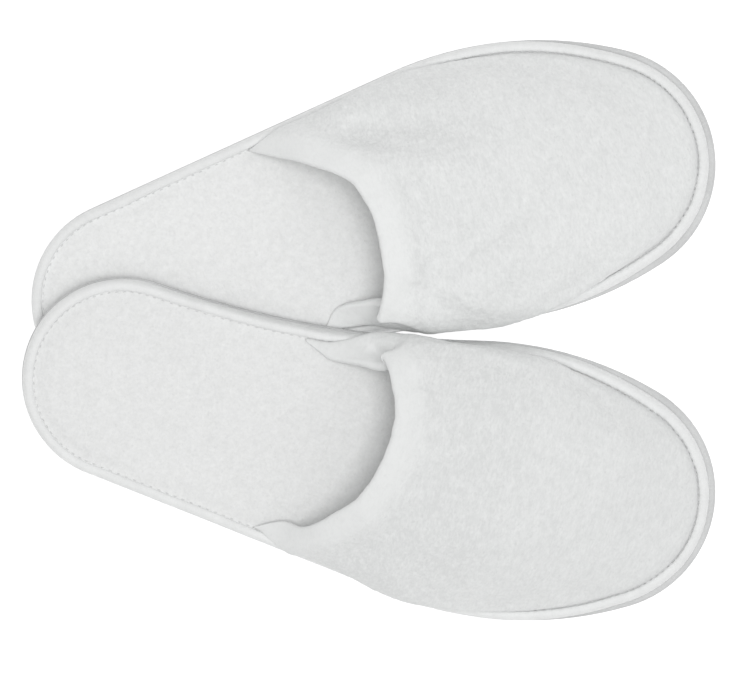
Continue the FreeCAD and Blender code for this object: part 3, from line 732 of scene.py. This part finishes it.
    def layer(self, columns, outer_depth, inner_depth, keep_off):
        """Two grids at the given depths, from the seam to keep_off short of the throat's edge."""
        reach = np.maximum(self.length - keep_off * self.taper, 0.5)
        climbed = reach[:, None] * np.linspace(0, 1, columns)[None, :]
        points, normals = self.at(climbed)
        left = self.length[:, None] - climbed
        grids = []
        for depth in (outer_depth(left), inner_depth(left)):
            grids.append(points - normals * (depth * self.taper[:, None])[..., None])
        return grids

    def cover(self, columns):
        """The outer cloth: up from the seam, rolled round the edge of the throat and back under."""
        climbed = self.length[:, None] * np.linspace(0, 1, columns)[None, :]
        points, normals = self.at(climbed)
        left = self.length[:, None] - climbed
        sink = 0.2 * smoothstep(1 - (left - BAND + 3) / 8) * self.taper[:, None]
        points = points - normals * sink[..., None]
        edge, up = points[:, -1], normals[:, -1]
        ahead = unit(points[:, -1] - points[:, -4])
        ahead = unit(ahead - up * np.sum(ahead * up, axis=-1, keepdims=True))

        def path(depth, main, turns, backs):
            """The same path at a depth inside the cloth."""
            scale = self.taper[:, None]
            radius = EDGE_THICKNESS / 2
            rows = [points[:, main] - normals[:, main] * (depth * scale)[..., None]]
            centre = edge - up * (radius * scale)
            for turn in turns:
                spoke = up * math.cos(turn) + ahead * math.sin(turn)
                rows.append((centre + spoke * ((radius - depth) * scale))[:, None, :])
            for back in backs:
                low = centre - up * ((radius - depth) * scale) - ahead * (back * scale)
                rows.append(low[:, None, :])
            return np.concatenate(rows, axis=1)

        coarse = np.unique(np.linspace(0, columns - 1, 16).astype(int))
        seen = path(0.0, slice(None), np.linspace(0.12, 1, 12) * math.pi, (1.5, 3.0, 4.5, TURN_BACK))
        hidden = path(COVER, coarse, np.linspace(0.25, 1, 5) * math.pi, (2.5, TURN_BACK))
        return seen, hidden, climbed, left


def pile_up(points, normals, amount, seed):
    """Raise a surface by small clumps of pile. amount is the height, one number per point."""
    return points + normals * (amount * waves(points, seed, (0.6, 2.0), (0.4, 1.1)))[..., None]


def build_cover(name, place, facts, looks, vamp):
    """Outer velour, with flatter pile along the hem, painted lighter, and painted shade on the cloth
    behind it.
    """
    seen, hidden, climbed, left = vamp.cover(160)
    body_columns = climbed.shape[1]
    normals = vamp.normals(seen)
    band = np.ones(seen.shape[:2])
    band[:, :body_columns] = smoothstep(1 - (left - BAND + 4) / 9)
    # Painted shade: the cloth from 13 mm behind the throat's edge, fading out by 70 mm, is coloured darker
    # through the pile attribute.
    painted_shade = smooth_through(*np.array(facts["painted_shade"]).T, vamp.share)[:, None]
    painted_shade = painted_shade * smoothstep((left - BAND - 4) / 10) * smoothstep((70 - left) / 35)
    amount = VAMP_PILE * (1 - 0.6 * band)
    amount[:, :body_columns] *= smoothstep(climbed / 2.5)
    amount *= vamp.taper[:, None]
    seen = pile_up(seen, normals, amount, facts["seed"] + 5)
    lay_and_shade = band.copy()
    lay_and_shade[:, :body_columns] -= 0.5 * painted_shade
    lay_and_shade = np.concatenate([lay_and_shade.ravel(), np.ones(hidden.shape[0] * hidden.shape[1])])
    return make_mesh(f"{name}_vamp_velour", place, *shell(seen, hidden), looks["vamp"], lay_and_shade)


def build_lining(name, place, facts, looks, vamp):
    outer, inner = vamp.layer(70, lambda left: vamp.depth_in(left) - LINING,
                              vamp.depth_in, TURN_BACK + 0.2)
    amount = np.full(inner.shape[:2], LINING_PILE) * vamp.taper[:, None]
    inner = pile_up(inner, -vamp.normals(inner), amount, facts["seed"] + 9)
    return make_mesh(f"{name}_vamp_inner_velour", place, *shell(outer, inner), looks["lining"])


def build_sponge(name, place, looks, vamp):
    outer, inner = vamp.layer(40, lambda left: np.full(left.shape, COVER + 0.05),
                              lambda left: vamp.depth_in(left) - LINING - 0.05, BAND + 1)
    return make_mesh(f"{name}_vamp_sponge", place, *shell(outer, inner), looks["sponge"])


def build_throat_seam(name, place, looks, vamp):
    """Hidden seam between cover and lining, in the room that the sponge leaves by the throat."""
    rows = np.arange(int(0.12 * vamp.ROWS), int(0.88 * vamp.ROWS))
    seam, up = vamp.at((vamp.length - BAND + 0.5)[:, None])
    seam = seam[:, 0] - up[:, 0] * (COVER + 0.55)
    walked = np.cumsum(np.linalg.norm(np.diff(seam[rows], axis=0, prepend=seam[rows][:1]), axis=-1))
    spots = np.arange(0, walked[-1], STITCH_PITCH)
    middles = np.column_stack([np.interp(spots, walked, seam[rows, axis]) for axis in range(3)])
    ways = unit(np.gradient(middles, axis=0))
    ups = np.column_stack([np.interp(spots, walked, up[rows, 0, axis]) for axis in range(3)])
    ups = unit(ups - ways * np.sum(ups * ways, axis=-1, keepdims=True))
    points, faces = capsules(middles, ways, ups, STITCH_LENGTH, HIDDEN_THREAD / 2, 0.1)
    return make_mesh(f"{name}_throat_seam", place, points, faces, looks["thread"])


# ---------------------------------------------------------------- insole, binding, stitches

def build_insole(name, place, facts, looks):
    """Velour face of the insole: padded in the middle, drawn down into the stitch line."""
    lengthwise, across = 430, 118
    distance = np.linspace(0, OUTLINE.total, 3000, endpoint=False)
    rim = OUTLINE.inset(distance, BINDING_BACK + 0.1 + OUTLINE.shift(distance))
    tip, heel = np.argmax(rim[:, 0]), np.argmin(rim[:, 0])
    turned = np.roll(rim, -heel, axis=0)
    tip = (tip - heel) % len(rim)
    medial, lateral = turned[:tip + 1], turned[tip:][::-1]
    easing = (1 - np.cos(np.linspace(0.035, math.pi - 0.035, lengthwise))) / 2
    x = rim[:, 0].min() + (rim[:, 0].max() - rim[:, 0].min()) * easing
    low = np.interp(x, medial[:, 0], medial[:, 1])
    high = np.interp(x, lateral[:, 0], lateral[:, 1])
    cross = np.linspace(0, 1, across)
    grid = np.empty((lengthwise, across, 3))
    grid[..., 0] = x[:, None]
    grid[..., 1] = low[:, None] + (high - low)[:, None] * cross[None, :]
    flat = grid[..., :2].reshape(-1, 2)
    coarse_rim = rim[::6]
    off = np.empty(len(flat))
    for first in range(0, len(flat), 4000):
        gaps = flat[first:first + 4000, None, :] - coarse_rim[None]
        off[first:first + 4000] = np.sqrt((gaps ** 2).sum(axis=-1).min(axis=1))
    from_edge = off.reshape(grid.shape[:2]) + BINDING_BACK
    seed = facts["seed"] + 40
    grid[..., 2] = VELOUR_TOP - 0.25 + 0.95 * smoothstep((from_edge - STITCH_INSET - 0.4) / 5.5)
    middle = smoothstep((from_edge - BEAD_LIP) / 8)
    grid[..., 2] += middle * waves(grid, seed, (0.30, 34), (0.14, 11))
    upward = np.zeros(grid.shape)
    upward[..., 2] = 1
    grid = pile_up(grid, upward, INSOLE_PILE * middle, seed + 2)
    under = np.stack([grid[:, 0], grid[:, -1]], axis=1)
    under[..., 2] = FOAM_TOP
    points, faces = shell(grid, under)
    faces = [face[::-1] for face in faces]
    return make_mesh(f"{name}_insole_velour", place, points, faces, looks["insole"])


def build_layer(name, place, inset, low, high, material):
    """Plain flat layer between two heights, cut to the line of the tape."""
    distance = np.linspace(0, OUTLINE.total, 400, endpoint=False)
    rim = OUTLINE.inset(distance, inset + OUTLINE.shift(distance))
    count = len(rim)
    faces = [face[::-1] for face in quads(2, count, wrap_columns=True)]
    faces.append(list(range(count))[::-1])
    faces.append(list(range(count, 2 * count)))
    return make_mesh(name, place, stacked(rim, (low, high)), faces, material)


def build_binding(name, place, facts, looks, vamp_span):
    """Tape folded round the edge, pulled in at every stitch."""
    stitches = round(OUTLINE.total / STITCH_PITCH)
    stations = stitches * 7
    distance = np.arange(stations) * OUTLINE.total / stations
    phase = distance / OUTLINE.total * stitches
    pull = 0.5 + 0.5 * np.cos(2 * math.pi * phase)
    outer = [(BEAD_CREST - (BEAD_CREST - BEAD_OUTER) * math.cos(angle) ** 0.85,
              BEAD_FOOT + (BEAD_TOP - BEAD_FOOT) * math.sin(angle) ** 0.95, 0.0)
             for angle in np.linspace(0, math.pi / 2, 10)]
    inner = [(BEAD_CREST, VELOUR_TOP + 0.1 + (BEAD_TOP - VELOUR_TOP - 0.1) * math.cos(angle),
              math.sin(angle)) for angle in np.linspace(0.18, math.pi / 2, 8)]
    under = [(BEAD_CREST, VELOUR_TOP - 0.35, 0.97), (BINDING_BACK + 0.1, VELOUR_TOP - 0.3, 0.0),
             (BINDING_BACK, FOAM_TOP, 0.0), (BINDING_BACK, OUTSOLE_TOP + 1.25, 0.0),
             (BEAD_LIP, OUTSOLE_TOP + 1.2, 0.0), (BEAD_LIP, OUTSOLE_TOP + 0.05, 0.0),
             (BEAD_OUTER + 0.5, OUTSOLE_TOP + 0.02, 0.0), (BEAD_OUTER + 0.1, OUTSOLE_TOP + 0.5, 0.0)]
    profile = np.array(outer + inner + under)
    profile_inset = profile[:, 0] + profile[:, 2] * (BEAD_LIP - BEAD_CREST)
    profile_inset = profile_inset[None, :] + OUTLINE.shift(distance)[:, None]
    seed = facts["seed"] + 60
    edge, outward = OUTLINE.at(distance)
    inner_share = profile[:, 2]
    top_share = smoothstep((profile[:, 1] - OUTSOLE_TOP - 1) / (BEAD_TOP - OUTSOLE_TOP - 1))
    start, end = vamp_span
    in_vamp = inside(distance, start, end, 20)
    path = np.column_stack([edge, np.zeros(stations)])
    wander = waves(path, seed, (0.22, 23), (0.12, 7))
    inset = profile_inset + wander[:, None] * top_share[None, :]
    inset -= (0.10 * (1 - pull))[:, None] * ((1 - inner_share) * top_share)[None, :]
    height = profile[None, :, 1] + top_share[None, :] * (
        0.1 * in_vamp + 0.16 * noise(path, 15, seed + 2))[:, None]
    height = height - ((0.12 + 0.18 * in_vamp) * pull)[:, None] * (inner_share * top_share)[None, :]
    height = height - 0.10 * pull[:, None] * top_share[None, :]
    grid = np.empty((stations, len(profile), 3))
    grid[..., :2] = edge[:, None, :] - outward[:, None, :] * inset[..., None]
    grid[..., 2] = height
    faces = quads(stations, len(profile), wrap_rows=True, wrap_columns=True)
    faces = [face[::-1] for face in faces]
    return make_mesh(f"{name}_binding_tape", place, grid.reshape(-1, 3), faces, looks["tape"])


def build_stitches(name, place, facts, looks, vamp_span):
    """The stitches that hold the tape down. On the insole they sink into the pile."""
    count = round(OUTLINE.total / STITCH_PITCH)
    distance = (np.arange(count) + 0.5) * OUTLINE.total / count
    edge, outward = OUTLINE.at(distance)
    start, end = vamp_span
    in_vamp = inside(distance, start, end, 12)
    inset = STITCH_INSET + OUTLINE.shift(distance)
    middles = np.column_stack([edge - outward * inset[:, None], VELOUR_TOP - 0.74 + 0.70 * in_vamp])
    ways = np.column_stack([-outward[:, 1], outward[:, 0], np.zeros(count)])
    slew = 0.09 * noise(middles, 1.7, facts["seed"] + 80)
    ways = unit(ways + np.column_stack([outward * slew[:, None], np.zeros(count)]))
    ups = np.tile([0.0, 0.0, 1.0], (count, 1))
    points, faces = capsules(middles, ways, ups, STITCH_LENGTH, THREAD / 2, 0.38)
    return make_mesh(f"{name}_binding_thread", place, points, faces, looks["thread"])


# ---------------------------------------------------------------- the pair

def show_node(node, material):
    """Keep a CAD solid and give it a material."""
    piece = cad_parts[node]
    piece.data.materials.clear()
    piece.data.materials.append(material)


def build_slipper(name, facts):
    place = Place(name, facts["side"], facts["yaw"], facts["pitch"], facts["roll"])
    yaw = facts["yaw"]
    # The tones are painted light: they colour one slipper's vamp and insole lighter than the other's.
    vamp_painted_light, insole_painted_light = facts["painted_light_tones"]
    looks = {
        "vamp": velour(f"{name}_vamp_velour", yaw, shade(VAMP_LIGHT, vamp_painted_light),
                       shade(VAMP_DARK, vamp_painted_light)),
        "lining": velour(f"{name}_lining_velour", yaw, LINING_LIGHT, LINING_DARK),
        "insole": velour(f"{name}_insole_velour", yaw, shade(INSOLE_LIGHT, insole_painted_light),
                         shade(INSOLE_DARK, insole_painted_light), streak=(0.8, 0.7, 0.8)),
        "sponge": foam(f"{name}_sponge", (0.85, 0.85, 0.82)),
        "tape": tape(f"{name}_tape", yaw),
        "thread": sewing_thread(f"{name}_thread"),
    }
    body = f"{name}_slipper"
    vamp = Vamp(facts)
    cover = build_cover(name, place, facts, looks, vamp)
    lining = build_lining(name, place, facts, looks, vamp)
    sponge = build_sponge(name, place, looks, vamp)
    seam_thread = build_throat_seam(name, place, looks, vamp)
    board = build_layer(f"{name}_board", place, BOARD_INSET, OUTSOLE_TOP, BOARD_TOP,
                        fibre_board(f"{name}_board"))
    bed = build_layer(f"{name}_foam_bed", place, BINDING_BACK + 0.05, BOARD_TOP, FOAM_TOP,
                      foam(f"{name}_insole_foam", (0.86, 0.86, 0.83)))
    insole = build_insole(name, place, facts, looks)
    binding = build_binding(name, place, facts, looks, vamp.span)
    stitches = build_stitches(name, place, facts, looks, vamp.span)
    for piece, node, slot in (
            (cover, "vamp_cover", "vamp_velour"), (lining, "vamp_lining", "vamp_lining"),
            (sponge, "vamp_padding", "vamp_sponge"), (seam_thread, "throat_stitches", "hidden_thread"),
            (board, "insole_board", "insole_board"), (bed, "insole_foam", "insole_foam"),
            (insole, "insole_cover", "insole_velour"), (binding, "edge_binding", "binding_tape"),
            (stitches, "binding_stitches", "sewing_thread")):
        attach(piece, body)
        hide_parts(f"{name}_{node}")
    show_node(f"{name}_outsole", eva(f"{name}_eva", yaw))


# ---------------------------------------------------------------- floor, light, camera

def build_stage():
    floor_nodes = Nodes("floor")
    floor_nodes.set("Base Color", (0.45, 0.45, 0.45, 1))
    floor_nodes.set("Roughness", 0.9)
    floor_nodes.set("Emission Color", (1, 1, 1, 1))
    floor_nodes.set("Emission Strength", 0.77)
    mesh = bpy.data.meshes.new("floor")
    half = 3.0
    corners = [(-half, -half, 0), (half, -half, 0), (half, half, 0), (-half, half, 0)]
    mesh.from_pydata(corners, [], [(0, 1, 2, 3)])
    mesh.materials.append(floor_nodes.material)
    floor = bpy.data.objects.new("floor", mesh)
    bpy.context.scene.collection.objects.link(floor)

    world = bpy.data.worlds.new("studio")
    world.use_nodes = True
    background = world.node_tree.nodes["Background"]
    background.inputs["Color"].default_value = (1, 1, 1, 1)
    background.inputs["Strength"].default_value = 0.535
    bpy.context.scene.world = world


def add_light(name, place, target, size, power):
    light = bpy.data.lights.new(name, "AREA")
    light.shape = "DISK"
    light.size = size
    light.energy = power
    lamp = bpy.data.objects.new(name, light)
    lamp.location = place
    lamp.rotation_euler = (Vector(target) - Vector(place)).to_track_quat("-Z", "Y").to_euler()
    bpy.context.scene.collection.objects.link(lamp)


def add_camera():
    camera = bpy.data.cameras.new("camera")
    seen_width, distance = 0.2976, 1.35
    camera.sensor_width = 36.0
    camera.lens = camera.sensor_width * distance / seen_width
    camera.clip_end = 20
    eye = bpy.data.objects.new("camera", camera)
    eye.location = (-0.0012, -0.0026, distance + 0.012)
    bpy.context.scene.collection.objects.link(eye)
    bpy.context.scene.camera = eye


for slipper_name, slipper_facts in SLIPPERS.items():
    build_slipper(slipper_name, slipper_facts)
build_stage()
add_light("key", (0.14, -0.06, 1.5), (0, 0, 0), 0.8, 11.2)
add_camera()
bpy.context.scene.view_settings.view_transform = "Standard"
